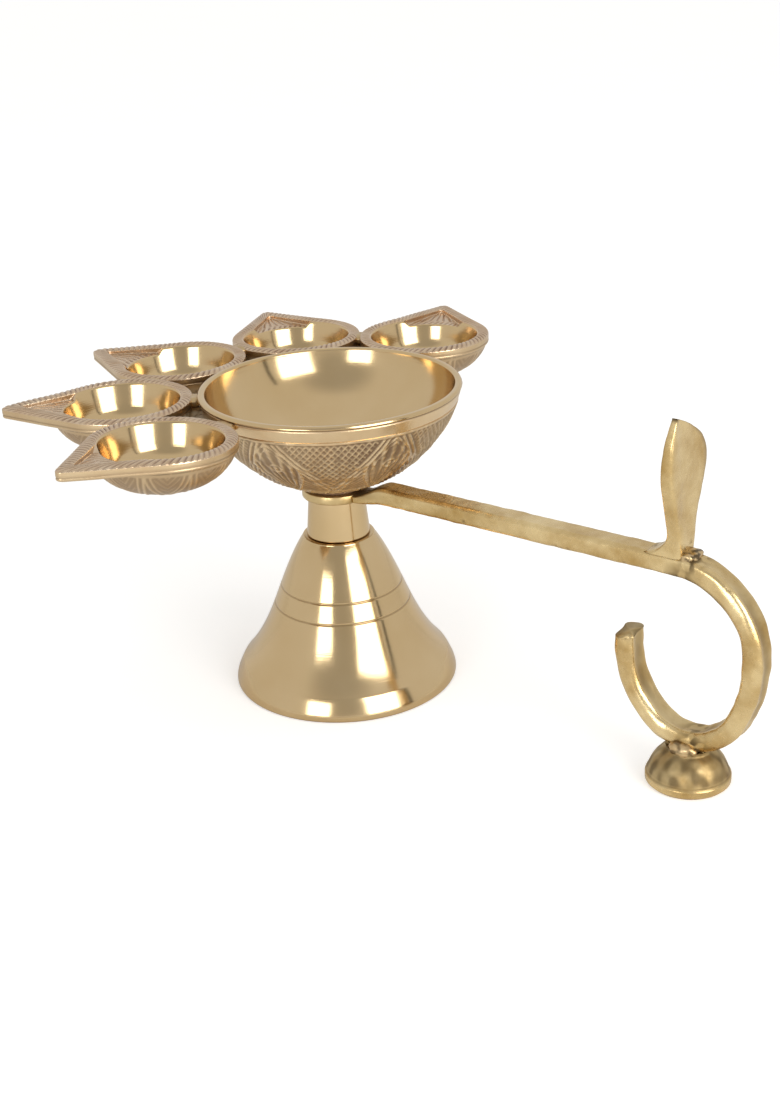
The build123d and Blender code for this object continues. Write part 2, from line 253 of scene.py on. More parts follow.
def linear(code):
    """An sRGB hex colour as linear RGBA: c / 12.92 up to 0.04045, and ((c + 0.055) / 1.055)^2.4 above."""
    c = np.array([int(code[i:i + 2], 16) for i in (1, 3, 5)]) / 255
    c = np.where(c <= 0.04045, c / 12.92, ((c + 0.055) / 1.055) ** 2.4)
    return (*c.tolist(), 1.0)


def add(tree, kind, inputs=(), **settings):
    """A new node with its settings; each input takes a value or the output of another node."""
    made = tree.nodes.new(kind)
    for key, value in settings.items():
        setattr(made, key, value)
    for key, value in dict(inputs).items():
        if isinstance(value, bpy.types.NodeSocket):
            tree.links.new(value, made.inputs[key])
        else:
            made.inputs[key].default_value = value
    return made


def new_tree(name):
    """An empty material and its node tree."""
    material = bpy.data.materials.new(name)
    material.use_nodes = True
    material.node_tree.nodes.clear()
    return material, material.node_tree


def per_mm(size):
    """The scale of a texture on Object coordinates, in metres, whose features are size millimetres wide."""
    return 1 / (size * MM)


# Turned and buffed brass: a clear golden mirror, with the fine rings that the lathe tool left (0.45 mm apart,
# drawn coarser than the real 0.1 mm so that they show) and a thin brown film in the engraved lines. The same
# brown is painted shade in the creases where the collar meets the bell and the eye.
def turned_brass():
    material, tree = new_tree("turned_brass")
    place = add(tree, "ShaderNodeTexCoord").outputs["Object"]
    along = add(tree, "ShaderNodeAttribute", attribute_name="along").outputs["Fac"]
    darkening = add(tree, "ShaderNodeAttribute", attribute_name="tarnish_and_shade").outputs["Fac"]
    cloud = add(tree, "ShaderNodeTexNoise", {"Vector": place, "Scale": per_mm(16), "Detail": 3})
    gold = add(tree, "ShaderNodeMix", {0: cloud.outputs["Fac"], 6: linear("#CFB180"), 7: linear("#DDC398")},
               data_type="RGBA")
    darkened_colour = add(tree, "ShaderNodeMix", {0: darkening, 6: gold.outputs[2], 7: linear("#6B4A26")}, data_type="RGBA")
    rings = add(tree, "ShaderNodeTexNoise", {"W": along, "Scale": 1 / 0.45, "Detail": 2, "Roughness": 0.7},
                noise_dimensions="1D")
    bump = add(tree, "ShaderNodeBump", {
        "Height": rings.outputs["Fac"], "Strength": 0.22, "Distance": 0.00004})
    rough = add(tree, "ShaderNodeMapRange", {"Value": cloud.outputs["Fac"], "To Min": 0.10, "To Max": 0.18})
    brass = add(tree, "ShaderNodeBsdfPrincipled", {
        "Base Color": darkened_colour.outputs[2], "Metallic": 1.0, "Roughness": rough.outputs[0],
        "Normal": bump.outputs[0]})
    add(tree, "ShaderNodeOutputMaterial", {"Surface": brass.outputs[0]})
    return material


# Chased brass: cast, then cut with punches. The ridges are rubbed bright, and a purple-brown tarnish stays
# in the cuts. The same colour is painted shadow on the bowl's boss and foot, over the handle's eye. A 0.6 mm
# grain of small dents breaks up the shine.
def chased_brass():
    material, tree = new_tree("chased_brass")
    place = add(tree, "ShaderNodeTexCoord").outputs["Object"]
    darkening = add(tree, "ShaderNodeAttribute", attribute_name="tarnish_and_shade").outputs["Fac"]
    cloud = add(tree, "ShaderNodeTexNoise", {"Vector": place, "Scale": per_mm(9), "Detail": 4})
    gold = add(tree, "ShaderNodeMix", {0: cloud.outputs["Fac"], 6: linear("#D2B084"), 7: linear("#F0DAB2")},
               data_type="RGBA")
    darkened_colour = add(tree, "ShaderNodeMix", {0: darkening, 6: gold.outputs[2], 7: linear("#624638")}, data_type="RGBA")
    grain = add(tree, "ShaderNodeTexNoise", {"Vector": place, "Scale": per_mm(0.6), "Detail": 2})
    bump = add(tree, "ShaderNodeBump", {"Height": grain.outputs["Fac"], "Strength": 0.3, "Distance": 0.00008})
    rough = add(tree, "ShaderNodeMapRange", {"Value": darkening, "To Min": 0.27, "To Max": 0.6})
    brass = add(tree, "ShaderNodeBsdfPrincipled", {
        "Base Color": darkened_colour.outputs[2], "Metallic": 1.0, "Roughness": rough.outputs[0],
        "Normal": bump.outputs[0]})
    add(tree, "ShaderNodeOutputMaterial", {"Surface": brass.outputs[0]})
    return material


# Corded brass of the cup rims: as-cast beads with a rosy, frosted skin, brown between the beads.
def corded_brass():
    material, tree = new_tree("corded_brass")
    place = add(tree, "ShaderNodeTexCoord").outputs["Object"]
    darkening = add(tree, "ShaderNodeAttribute", attribute_name="tarnish_and_shade").outputs["Fac"]
    cloud = add(tree, "ShaderNodeTexNoise", {"Vector": place, "Scale": per_mm(5), "Detail": 3})
    rose = add(tree, "ShaderNodeMix", {0: cloud.outputs["Fac"], 6: linear("#D2AE86"), 7: linear("#F0DEC4")},
               data_type="RGBA")
    darkened_colour = add(tree, "ShaderNodeMix", {0: darkening, 6: rose.outputs[2], 7: linear("#6E4632")}, data_type="RGBA")
    grain = add(tree, "ShaderNodeTexNoise", {"Vector": place, "Scale": per_mm(0.5), "Detail": 2})
    bump = add(tree, "ShaderNodeBump", {
        "Height": grain.outputs["Fac"], "Strength": 0.35, "Distance": 0.00008})
    rough = add(tree, "ShaderNodeMapRange", {"Value": darkening, "To Min": 0.22, "To Max": 0.5})
    brass = add(tree, "ShaderNodeBsdfPrincipled", {
        "Base Color": darkened_colour.outputs[2], "Metallic": 1.0, "Roughness": rough.outputs[0],
        "Normal": bump.outputs[0]})
    add(tree, "ShaderNodeOutputMaterial", {"Surface": brass.outputs[0]})
    return material


# Cast and filed brass of the handle: satin, with cloudy toning about 12 mm across, 1.5 mm sand marks, a few
# dark pits, and burnt flux where it was brazed, which is dull as well as dark. The same dull dark colour is
# painted shade on the top of the arm's root under the bowl, along the ring's inner edge under the leaf and on
# the leaf's far edge.
def cast_brass():
    material, tree = new_tree("cast_brass")
    place = add(tree, "ShaderNodeTexCoord").outputs["Object"]
    darkening = add(tree, "ShaderNodeAttribute", attribute_name="tarnish_and_shade").outputs["Fac"]
    cloud = add(tree, "ShaderNodeTexNoise", {
        "Vector": place, "Scale": per_mm(12), "Detail": 5, "Roughness": 0.6})
    patch = add(tree, "ShaderNodeMapRange", {
        "Value": cloud.outputs["Fac"], "From Min": 0.30, "From Max": 0.70})
    gold = add(tree, "ShaderNodeMix", {0: patch.outputs[0], 6: linear("#BE9C60"), 7: linear("#F2DAA6")},
               data_type="RGBA")
    burnt_and_shaded = add(tree, "ShaderNodeMix", {0: darkening, 6: gold.outputs[2], 7: linear("#3A2B1A")}, data_type="RGBA")
    sand = add(tree, "ShaderNodeTexNoise", {
        "Vector": place, "Scale": per_mm(1.5), "Detail": 4, "Roughness": 0.65})
    bump = add(tree, "ShaderNodeBump", {"Height": sand.outputs["Fac"], "Strength": 0.4, "Distance": 0.00016})
    rough = add(tree, "ShaderNodeMapRange", {"Value": sand.outputs["Fac"], "To Min": 0.16, "To Max": 0.36})
    dulled = add(tree, "ShaderNodeMix", {0: darkening, 2: rough.outputs[0], 3: 0.75})
    brass = add(tree, "ShaderNodeBsdfPrincipled", {
        "Base Color": burnt_and_shaded.outputs[2], "Metallic": 1.0, "Roughness": dulled.outputs[0],
        "Normal": bump.outputs[0]})
    add(tree, "ShaderNodeOutputMaterial", {"Surface": brass.outputs[0]})
    return material


# Brazing brass: pale, lumpy filler that ran and froze, with 2 mm stains of black flux. The same black is
# painted shade on the pads in the corners between the bowl and the cups.
def braze_brass():
    material, tree = new_tree("braze_brass")
    place = add(tree, "ShaderNodeTexCoord").outputs["Object"]
    darkening = add(tree, "ShaderNodeAttribute", attribute_name="tarnish_and_shade").outputs["Fac"]
    stain = add(tree, "ShaderNodeTexNoise", {"Vector": place, "Scale": per_mm(2), "Detail": 3})
    gold = add(tree, "ShaderNodeMix", {0: stain.outputs["Fac"], 6: linear("#B8935E"), 7: linear("#E6CFA4")},
               data_type="RGBA")
    burnt_and_shaded = add(tree, "ShaderNodeMix", {0: darkening, 6: gold.outputs[2], 7: linear("#30231A")}, data_type="RGBA")
    bump = add(tree, "ShaderNodeBump", {"Height": stain.outputs["Fac"], "Strength": 0.3, "Distance": 0.0002})
    rough = add(tree, "ShaderNodeMapRange", {"Value": stain.outputs["Fac"], "To Min": 0.28, "To Max": 0.42})
    brass = add(tree, "ShaderNodeBsdfPrincipled", {
        "Base Color": burnt_and_shaded.outputs[2], "Metallic": 1.0, "Roughness": rough.outputs[0],
        "Normal": bump.outputs[0]})
    add(tree, "ShaderNodeOutputMaterial", {"Surface": brass.outputs[0]})
    return material


# Zinc-plated steel of the stud, washer and nut: grey and cloudy, with 1 mm spots where the plating dulled.
def plated_steel():
    material, tree = new_tree("plated_steel")
    place = add(tree, "ShaderNodeTexCoord").outputs["Object"]
    spots = add(tree, "ShaderNodeTexNoise", {"Vector": place, "Scale": per_mm(1), "Detail": 4})
    grey = add(tree, "ShaderNodeMix", {0: spots.outputs["Fac"], 6: linear("#9A9C9E"), 7: linear("#C9CBCB")},
               data_type="RGBA")
    bump = add(tree, "ShaderNodeBump", {"Height": spots.outputs["Fac"], "Strength": 0.2, "Distance": 0.00005})
    rough = add(tree, "ShaderNodeMapRange", {"Value": spots.outputs["Fac"], "To Min": 0.28, "To Max": 0.48})
    steel = add(tree, "ShaderNodeBsdfPrincipled", {
        "Base Color": grey.outputs[2], "Metallic": 1.0, "Roughness": rough.outputs[0],
        "Normal": bump.outputs[0]})
    add(tree, "ShaderNodeOutputMaterial", {"Surface": steel.outputs[0]})
    return material


turned = turned_brass()
chased = chased_brass()
corded = corded_brass()
cast = cast_brass()
braze = braze_brass()
steel = plated_steel()


# Bell and collar

def bell_stand():
    """The bell: its turned profile carried round Z. Two engraved lines are V-shaped dips in the radius, and
    buffing leaves a slow ripple of 0.02 mm."""
    skin = spline(BELL_SKIN, count=300)
    band = spline(BELL_BAND, (1, -1.6), (0.05, -1), 26)
    crown = run((STUD_BORE, BELL_TOP), (9.55, BELL_TOP), count=6)
    profile = chain(
        crown, arc((9.55, 42.25), 0.25, 90, 0, 5), skin, band, arc((BELL_LIP, 0.8), 0.8, 0, -90, 9),
        run((BELL_LIP, 0), (BELL_FOOT, 0), count=4), run((BELL_FOOT, 0), BELL_HOLLOW[0], count=8),
        spline(BELL_HOLLOW, count=44),
        run(BELL_HOLLOW[-1], (STUD_BORE, BELL_CROWN), (STUD_BORE, BELL_TOP), count=4))
    grid = lathe(profile, 160)
    level = profile[:, 1]
    outside = np.arange(len(profile)) < len(crown) + len(skin) + len(band) + 3
    cut = sum(groove(level, line, 0.34) for line in BELL_LINES) * outside
    height = 0.02 * ripple(grid, 15, 3) * outside[:, None] - 0.16 * cut[:, None]
    # The ledge round the collar's foot is darkened as painted shade.
    painted_ledge_shade = 0.3 * mound(level - BELL_TOP, 0.3) * (profile[:, 0] < 9.2)
    darkening = np.where(outside, 0.55 * cut + painted_ledge_shade, 0.35)
    return {"grid": relief(grid, height), "tarnish_and_shade": darkening[:, None], "along": lengths(profile)[:, None]}


def collar_ring():
    """The collar: a tapered profile with eased edges, carried round Z."""
    profile = chain(
        run((STUD_BORE, BELL_TOP), (8.3, BELL_TOP), count=4),
        run((8.3, BELL_TOP), (COLLAR_FOOT, 42.8), count=4),
        run((COLLAR_FOOT, 42.8), (7.62, 53.45), count=50), arc((COLLAR_HEAD - 0.23, 53.45), 0.25, 0, 90, 5),
        run((7.37, EYE_BASE), (STUD_BORE, EYE_BASE), (STUD_BORE, BELL_TOP), count=4))
    # Where the collar meets the bell and the eye it is darkened as painted shade.
    darkening = 0.85 * mound(profile[:, 1] - BELL_TOP, 0.3) + 0.4 * mound(profile[:, 1] - EYE_BASE, 0.25)
    return {"grid": lathe(profile, 128), "tarnish_and_shade": darkening[:, None], "along": lengths(profile)[:, None]}


piece("bell", "base", ["bell_base"], [bell_stand()], [turned])
piece("collar", "base", ["neck_collar"], [collar_ring()], [turned])


# Oil bowl

BOWL_OUTSIDE = spline(BOWL_SKIN, count=600)[::-1]
BOWL_DROP = lengths(BOWL_OUTSIDE)
# Small stains on the bowl's floor, at (x, y)
BOWL_MARKS = ((18.2, 6.5), (20.4, 8.9), (22.4, 5.1), (6.1, 17.5), (7.8, 13.2))


def bowl_wall(drop, inset=0.0):
    """The bowl's outside by its distance from the lip, moved in by inset along the normal, which is the
    slope of the curve turned by a right angle."""
    slope = np.gradient(BOWL_OUTSIDE, axis=0)
    slope /= np.linalg.norm(slope, axis=1, keepdims=True)
    r, z, dr, dz = (np.interp(drop, BOWL_DROP, v) for v in (*BOWL_OUTSIDE.T, *slope.T))
    return np.stack([r + dz * inset, z - dr * inset], -1)


def bowl_turned():
    """The turned bowl: lip, inside and boss carried round Z. Under the chased skin its outside is set in by
    half a millimetre, and one line is cut right below the lip. The plain band under that line is satin."""
    drop = np.concatenate([np.linspace(0.75, 6, 70), np.linspace(6, BOWL_DROP[-1], 60)[1:]])
    inset = 0.5 * ease((drop - CHASED_FROM - 0.3) / 0.4) * ease((CHASED_TO - drop) / 0.4)
    cut = groove(drop, LIP_LINE, 0.4)
    outside = bowl_wall(drop, inset + 0.32 * cut + 0.12 * ease((drop - 1.2) / 0.3))
    boss = run((0, STUD_TOP), (STUD_BORE, STUD_TOP), (STUD_BORE, EYE_TOP), (BOWL_BOSS, EYE_TOP),
               BOWL_SKIN[0], count=4)
    inside = spline(BOWL_INSIDE, (-0.2, -1), (-1, 0), 190)
    lip = chain(arc((34.05, 83.8), 0.7, 0, 90, 8), arc((33.5, 83.8), 0.7, 90, 180, 8))
    profile = chain(boss, outside[::-1], lip, inside)
    grid = lathe(profile, 192)
    row = np.arange(len(profile))
    skin = (row >= len(boss)) & (row < len(boss) + len(drop) - 1)
    inner = ease((row - len(profile) + len(inside)) / 6)
    # Below 57.6 mm, the boss and the foot of the bowl, it is darkened as painted shadow over the handle's
    # eye.
    darkening = 0.85 * (profile[:, 1] < 57.6)
    darkening[skin] += 0.8 * cut[::-1][1:]
    marks = np.zeros(grid.shape[:2])
    for x, y in BOWL_MARKS:
        marks += 0.45 * mound(np.hypot(grid[..., 0] - x, grid[..., 1] - y), 0.55) * inner[:, None]
    relieved = relief(grid, 0.025 * ripple(grid, 13, 8) * inner[:, None])
    satin = row[:-1] < len(boss) + (drop > LIP_LINE).sum()
    return {
        "grid": relieved, "tarnish_and_shade": np.clip(darkening[:, None] + marks, 0, 1),
        "along": lengths(profile)[:, None], "finish": satin.astype(int)}


def bowl_chasing():
    """The chased skin of the bowl, a closed ring 0.9 mm thick. Its relief depends on the distance from the
    lip and on the angle within one of six repeats: a hanging petal filled with a net of scales, bounded by
    two ridges, and between the petals an upright leaf whose strokes spread from its foot."""
    drop = np.linspace(CHASED_FROM, CHASED_TO, 126)
    columns = 720
    front = bowl_wall(drop)
    back = bowl_wall(drop[::-1][[0, 30, 60, 90, 125]], 0.9)
    profile = np.vstack([front, back, front[:1]])
    grid = lathe(profile, columns)
    skin = grid[:len(drop)]
    angle = np.degrees(np.linspace(0, TURN, columns, endpoint=False)) + 51.2
    turn = ((angle + 30) % 60 - 30)[None]
    d = drop[:, None]
    mm = np.radians(front[:, :1])

    petal = (30 - 1.07 * d - np.abs(turn)) * mm * 0.88
    p, q = turn * mm / 1.75 + d / 2.3, turn * mm / 1.75 - d / 2.3
    edge = np.minimum(np.abs(p - np.round(p)), np.abs(q - np.round(q)))
    scales = 0.34 * mound(edge, 0.15) - 0.08
    in_petal = ease((petal - 0.75) / 0.4)

    side = (30 - np.abs(turn)) * mm
    half = np.interp(drop, [6.0, 7.6, 9.6, 11.8, 14.5, 17.5, 20, 22.4, 25, 27.5, 29.5],
                     [0, 3.2, 6.8, 9.7, 11.9, 12.9, 12.3, 10.6, 7.6, 4.0, 0])[:, None] * mm
    leaf = half - side
    in_leaf = ease(leaf / 0.4)
    strokes = 0.16 * np.cos(TURN * np.arctan2(side, 31 - d) / 0.135)
    plume = 0.15 * np.cos(TURN * (0.55 * d - 0.95 * side) / 1.5)
    ring = np.hypot(side, d - 15.2)
    rosette = 0.3 * mound(ring - 1.5, 0.35) + 0.25 * mound(ring, 0.55)

    tongue = ((angle + 7.5) % 15 - 7.5)[None]
    foot = ease((d - CHASED_FOOT) / 0.5)
    reach = (7.2 - 0.1 * (d - 30) ** 2 - np.abs(tongue)) * mm
    tongues = 0.26 * mound(reach - 0.1, 0.3) + 0.12 * ease((reach - 0.4) / 0.5)

    field = (1 - in_petal) * (1 - in_leaf) * plume + in_leaf * strokes + in_petal * scales
    ridges = 0.34 * mound(petal, 0.30) + 0.30 * mound(petal + 1.35, 0.28)
    ridges = ridges + 0.34 * mound(leaf, 0.34) + 0.24 * mound(leaf - 1.7, 0.28) * in_leaf
    face = (field + ridges) * (1 - foot) + tongues * foot + rosette * ease((ring - 2.4) / -0.6)
    border = 0.3 * mound(d - CHASED_FROM - 0.55, 0.3) + 0.28 * mound(d - CHASED_FOOT, 0.32)
    face = face * ease((d - CHASED_FROM - 0.9) / 0.5) + border
    wear = 0.8 + 0.3 * ripple(skin, 7, 12)
    face = face * wear - 0.15 + 0.07 * ripple(skin, 1.8, 5)
    face *= ease((CHASED_TO - d) / 0.8)
    height = np.zeros(grid.shape[:2])
    height[:len(drop)] = np.clip(face, -0.32, 0.22)
    darkening = np.zeros(grid.shape[:2])
    patch = 0.5 + 0.5 * ripple(skin, 21, 11)
    darkening[:len(drop)] = np.clip((0.02 - face) / 0.17, 0, 1) * (0.5 + 0.3 * patch)
    return {"grid": relief(grid, height), "tarnish_and_shade": np.clip(darkening, 0, 1), "along": lengths(profile)[:, None]}


piece("bowl_turned", "bowl", ["bowl"], [bowl_turned()], [turned, chased])
piece("bowl_chasing", "bowl", ["bowl"], [bowl_chasing()], [chased])


# Wick cups

CUP_STEP = 2 * np.degrees(np.arcsin((CUP_RADIUS + CUP_SIDE_GAP / 2) / CUP_ORBIT))


def teardrop(turn, radius, tip, reach):
    """The outline of a circle drawn out to a small round tip, as its distance from the circle's middle in
    the direction turn: the circle, then the flank, radius / cos(turn - flank), then the tip's circle."""
    middle = reach - tip
    flank = np.arccos((radius - tip) / middle)
    start = np.arctan2(tip * np.sin(flank), middle + tip * np.cos(flank))
    t = np.abs(turn)
    near = np.minimum(t, start)
    point = middle * np.cos(near) + np.sqrt(np.maximum(tip ** 2 - (middle * np.sin(near)) ** 2, 0))
    side = radius / np.cos(np.clip(t - flank, -1.4, 0))
    return np.where(t > flank, radius, np.where(t > start, side, point))


def spout_floor(x):
    """The height of the spout's floor, which rises evenly from the middle of the cup to the tip."""
    return -3.0 + 1.9 * x / CUP_REACH


def wick_cup(seed):
    """One cup about its own middle, the rim at height 0 and the tip along X, as rows from the bottom of the
    bore out over the rim and down to the bottom of the shell. Every column is a direction from the middle,
    spread evenly along the outline. The rim is an arch that falls outwards a little, cut into uneven beads by
    the size of a sine along it, and the shell has ten petals in low relief."""
    fine = np.linspace(-np.pi, np.pi, 20001)
    edge = teardrop(fine, CUP_RADIUS, CUP_TIP, CUP_REACH)
    edge_length = lengths(np.stack([edge * np.cos(fine), edge * np.sin(fine)], -1))
    s = np.linspace(0, edge_length[-1], 440, endpoint=False)
    turn = np.interp(s, edge_length, fine)
    outer = teardrop(turn, CUP_RADIUS, CUP_TIP, CUP_REACH)
    pocket = teardrop(turn, SPOUT_RADIUS, SPOUT_TIP, SPOUT_REACH)
    inner = np.maximum(pocket, CUP_BORE)
    spout = ease((pocket - CUP_BORE) / 0.9)

    bore = spline([(CUP_BORE, 0), *CUP_WALL, (0, -CUP_BORE_DEPTH)], (-0.27, -1), (-1, 0), 300)
    share = np.linspace(0, 1, len(bore))
    stop = -RIM_ARCH + spout * (spout_floor(CUP_BORE * np.cos(turn)) + RIM_ARCH)
    k = 1 - np.linspace(0, 1, 36)[:, None] * (1 - np.interp(-stop, -bore[:, 1], share))
    bore_r, bore_z = (np.interp(k, share, bore[:, i]) for i in (0, 1))

    floor_r = bore_r[-1] + np.linspace(0, 1, 22)[1:, None] * (inner - bore_r[-1])
    fx, fy = floor_r * np.cos(turn), floor_r * np.sin(turn)
    past = floor_r - bore_r[-1]
    notch = mound(past - 1.5, 1.1) * ease((np.cos(TURN * (fy + 0.5 * (fx - 16)) / 1.7) - 0.1) / 0.6)
    fan = ease((np.cos(TURN * np.arctan2(fy, 33 - fx) / 0.14) - 0.35) / 0.5) * ease((past - 2.5) / 1.5)
    floor_cut = (0.32 * notch + 0.22 * fan) * spout * ease((inner - floor_r) / 0.5)
    floor_z = stop + spout * (spout_floor(fx) - spout_floor(bore_r[-1] * np.cos(turn))) - floor_cut

    wall_z = floor_z[-1] + np.linspace(0, 1, 6)[1:, None] * (-RIM_ARCH - floor_z[-1])
    wall_r = np.broadcast_to(inner, wall_z.shape)

    width = outer - inner
    over = 0.5 - 0.5 * np.cos(np.pi * np.linspace(0, 1, 17)[1:, None])
    arch = np.sqrt(np.maximum(1 - np.abs(2 * over - 1) ** 2.6, 0))
    edge_point = np.stack([s, 0 * s, 0 * s], -1)
    loose = 0.3 * ripple(edge_point, 9, seed)
    bead = np.abs(np.sin(np.pi * (s + loose + 0.8 * over * width) / BEAD_PITCH)) ** 0.8
    dull = 0.75 + 0.35 * ripple(edge_point, 14, seed + 5)
    rim_r = inner + over * width
    rim_z = -RIM_ARCH + RIM_ARCH * arch - 0.3 * over ** 2 - 0.5 * (1 - bead) * arch * dull

    drop = np.array([1.15, 1.6, 2.1, BAND_LINE, 2.6, 2.78, 2.94, 3.08, 3.2, CUP_BAND])[:, None]
    band_r = outer - 0.14 * mound(drop - BAND_LINE, 0.16) - 0.6
    band_r = band_r + np.sqrt(0.36 - np.maximum(drop - 2.7, 0) ** 2)
    band_z = np.broadcast_to(-drop, band_r.shape)
    under_r = band_r[-1] + np.linspace(0, 1, 8)[1:, None] * (CUP_SHOULDER - band_r[-1])
    under_z = np.full(under_r.shape, -CUP_BAND)

    shell = spline([(CUP_SHOULDER, -CUP_BAND), (0, -CUP_DEPTH)], (-0.25, -1), (-1, 0), 46)
    slope = np.gradient(shell, axis=0)
    slope /= np.linalg.norm(slope, axis=1, keepdims=True)
    down = lengths(shell)[:, None]
    petal = np.abs(np.degrees(turn)[None] % 36 - 18)
    mm = np.radians(shell[:, :1])
    reach = (np.interp(down, [0, 2, 6, 11, 15, 20], [17.8, 17.4, 15.0, 9.5, 3.0, 0]) - petal) * mm
    veins = np.cos(TURN * (0.8 * down + petal * mm) / 1.5)
    chase = 0.15 * mound(reach, 0.32) + 0.12 * mound(reach - 1.4, 0.28)
    chase = chase + 0.06 * veins * ease((reach - 1.9) / 0.6)
    chase = (chase - 0.08) * ease((down - 0.8) / 0.7) * ease((20.5 - down) / 2)
    shell_r = shell[:, :1] - slope[:, 1:] * chase
    shell_z = shell[:, 1:] + slope[:, :1] * chase

    parts_r = [bore_r, floor_r, wall_r, rim_r, band_r, under_r, shell_r[1:]]
    r = np.concatenate(parts_r)
    z = np.concatenate([bore_z, floor_z, wall_z, rim_z, band_z, under_z, shell_z[1:]])
    r[[0, -1]] = 0
    z[[0, -1]] = [[-CUP_BORE_DEPTH], [-CUP_DEPTH]]
    darkening = np.concatenate([
        0 * bore_r, np.clip(0.12 + 1.6 * floor_cut, 0, 0.85) * spout, 0.25 * spout + 0 * wall_r,
        (1 - bead) * arch * dull + 0.08, 0.15 + 0.4 * mound(drop - BAND_LINE, 0.2) + 0 * band_r,
        0.5 + 0 * under_r,
        0.12 + 0.4 * np.clip((0.03 - chase[1:]) / 0.1, 0, 1)])
    finish = np.repeat([0, 1, 1, 1, 2, 2, 2], [len(part) for part in parts_r])[1:]
    grid = np.stack([r * np.cos(turn), r * np.sin(turn), z], -1)
    along = lengths(np.stack([r[:, 0], z[:, 0]], -1))[:, None]
    grid[..., 2] += 0.05 * ripple(grid, 11, seed) * ease((z + 12) / 6)
    return {"grid": grid, "tarnish_and_shade": np.clip(darkening, 0, 1), "along": along, "finish": finish}


def turned_about(grid, axis, degrees):
    """Points turned about X, Y or Z by the right-hand rule."""
    matrix = np.array(Matrix.Rotation(np.radians(degrees), 3, axis))
    return grid @ matrix.T


for number, (twist, tilt) in enumerate(zip(CUP_TWISTS, CUP_TILTS), 1):
    cup = wick_cup(40 + number)
    seat = turned_about(cup["grid"], "Z", twist) + (CUP_RADIUS, 0, 0)
    seat = turned_about(seat, "Y", -tilt) + (CUP_ORBIT - CUP_RADIUS, 0, 0)
    cup["grid"] = turned_about(seat, "Z", 180 + (3 - number) * CUP_STEP) + (0, 0, CUP_RIM)
    piece(f"wick_cup_{number}", "bowl", [f"cup_{number}"], [cup], [turned, corded, chased])


# Braze between the cups and the bowl

def braze_plug(across, along, low, high, seed):
    """A small frozen run of filler about the origin: a rounded box, its cosines and sines squared off by
    powers under 1, made lumpy by a ripple."""
    v = np.linspace(-np.pi / 2, np.pi / 2, 22)[:, None]
    u = np.linspace(0, TURN, 44, endpoint=False)
    ring = bulge(np.cos(v), 0.5)
    x = across * ring * bulge(np.cos(u), 0.6)
    y = along * ring * bulge(np.sin(u), 0.9)
    z = (low + high) / 2 + (high - low) / 2 * bulge(np.sin(v), 0.7) + 0 * u
    grid = np.stack([x, y, z], -1)
    return relief(grid, 0.12 * ripple(grid + seed * 7.0, 2.6, seed))


def shaded_braze_web(seed):
    """A skin of filler in the corner between the bowl and two cups, about the direction X, darkened as
    painted
    shade for the corner: a hollow pad that reaches, in each direction from the corner's middle, to the
    nearest of three circles."""
    middle = np.array([WEB_MIDDLE, 0.0])
    half = np.radians(CUP_STEP / 2)
    walls = [((0.0, 0.0), 33.3)]
    walls += [((CUP_ORBIT * np.cos(half), k * CUP_ORBIT * np.sin(half)), CUP_RADIUS - 0.9) for k in (1, -1)]
    u = np.linspace(0, TURN, 180, endpoint=False)
    way = np.stack([np.cos(u), np.sin(u)], -1)
    reach = np.full(len(u), 11.8)
    for centre, radius in walls:
        to = np.asarray(centre) - middle
        ahead = way @ to
        inside = ahead ** 2 - to @ to + radius ** 2
        hit = ahead - np.sqrt(np.maximum(inside, 0))
        reach = np.where((inside > 0) & (ahead > 0), np.minimum(reach, hit), reach)
    v = np.linspace(-np.pi / 2, np.pi / 2, 20)[:, None]
    r = reach * np.cos(v) ** 0.35
    z = WEB_LEVEL + 0.55 * np.sin(v) - 1.5 * (1 - (r / reach) ** 2)
    grid = np.stack([middle[0] + r * way[:, 0], r * way[:, 1], z], -1)
    return relief(grid, 0.22 * ripple(grid + seed * 5.0, 3, seed))


runs = []
cup_count = len(CUP_TWISTS)
meeting = CUP_ORBIT * np.cos(np.radians(CUP_STEP / 2))
for number in range(cup_count):
    direction = 180 + (2 - number) * CUP_STEP
    seat = braze_plug(1.7, 3.1, BRAZE_LOW, BRAZE_HIGH + 0.05, number) + (BRAZE_SEAT, 0, 0)
    runs.append({"grid": turned_about(seat, "Z", direction), "tarnish_and_shade": 0.12})
    if number < cup_count - 1:
        between = direction - CUP_STEP / 2
        seat = braze_plug(1.4, 3.0, BRAZE_LOW, BRAZE_HIGH, 10 + number)
        seat = turned_about(seat, "Z", 90) + (meeting, 0, 0)
        runs.append({"grid": turned_about(seat, "Z", between), "tarnish_and_shade": 0.15})
        # The pad's dark colour is painted shade in the corner.
        runs.append({"grid": turned_about(shaded_braze_web(20 + number), "Z", between), "tarnish_and_shade": 0.7})
piece("cup_brazing", "bowl", ["rim_braze"], runs, [braze])


# Handle

def rounded_bar(width, thickness, rounding, count):
    """The section of a bar with rounded corners: its corner arcs and flats, spread evenly round it."""
    a, b = width / 2 - rounding, thickness / 2 - rounding
    loop = np.vstack([
        arc((a, b), rounding, 0, 90, 14), arc((-a, b), rounding, 90, 180, 14),
        arc((-a, -b), rounding, 180, 270, 14), arc((a, -b), rounding, 270, 360, 14), [(width / 2, b)]])
    at = lengths(loop)
    t = np.linspace(0, at[-1], count, endpoint=False)
    return np.stack([np.interp(t, at, loop[:, 0]), np.interp(t, at, loop[:, 1])], -1)


# Casting pits, at (x, y, z)
PITS = ((70.2, -3.4, 55.0), (71.3, -3.4, 55.3), (72.7, -3.4, 55.0), (74.6, -3.4, 55.2), (90.0, -3.4, 55.2),
        (44.0, -3.4, 56.0), (119.0, -3.7, 27.0))


